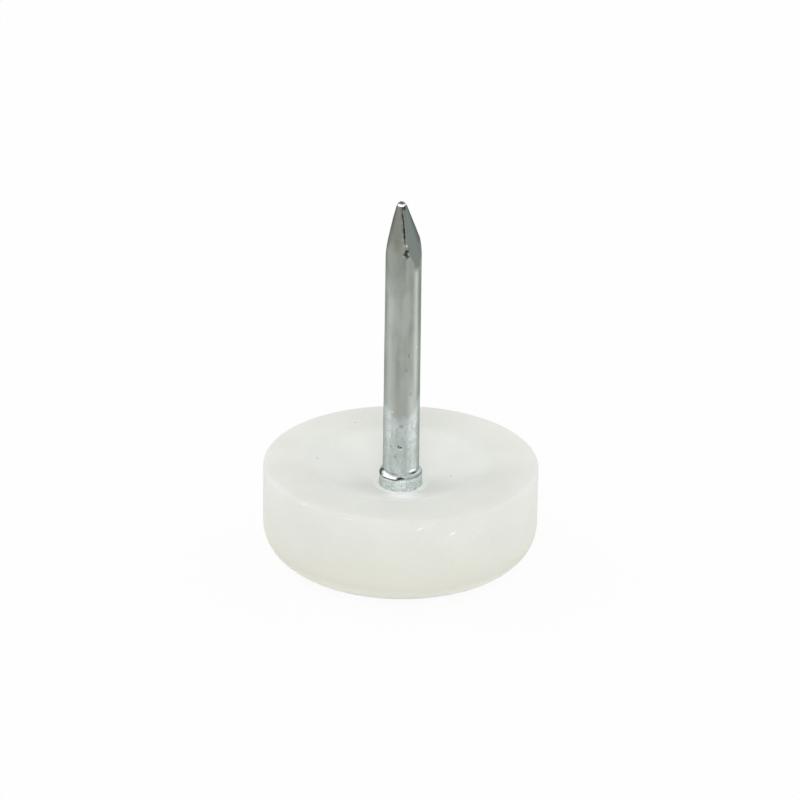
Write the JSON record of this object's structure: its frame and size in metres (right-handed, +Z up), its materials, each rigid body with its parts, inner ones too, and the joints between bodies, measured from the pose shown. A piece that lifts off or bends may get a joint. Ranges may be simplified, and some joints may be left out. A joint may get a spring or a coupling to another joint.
{
  "type": "nail-on furniture glide",
  "caption": "Round white plastic floor glide with a dished top, a rounded sole edge and a plated steel nail moulded in, to hammer into the end of a wooden furniture leg.",
  "frame": {"origin": "centre of the flat sole, which rests on the floor", "axes": "+Z up along the nail, from the sole to the point; X and Y in the plane of the sole, with -Y towards the viewer"},
  "size_m": [0.02, 0.02, 0.0275],
  "materials": {
    "white_plastic": "moulded, satin and slightly translucent",
    "zinc_plated_steel": "drawn wire with a dull zinc plating"
  },
  "bodies": {
    "root": {"glide_disc": "white_plastic", "nail": "zinc_plated_steel"}
  },
  "joints": []
}
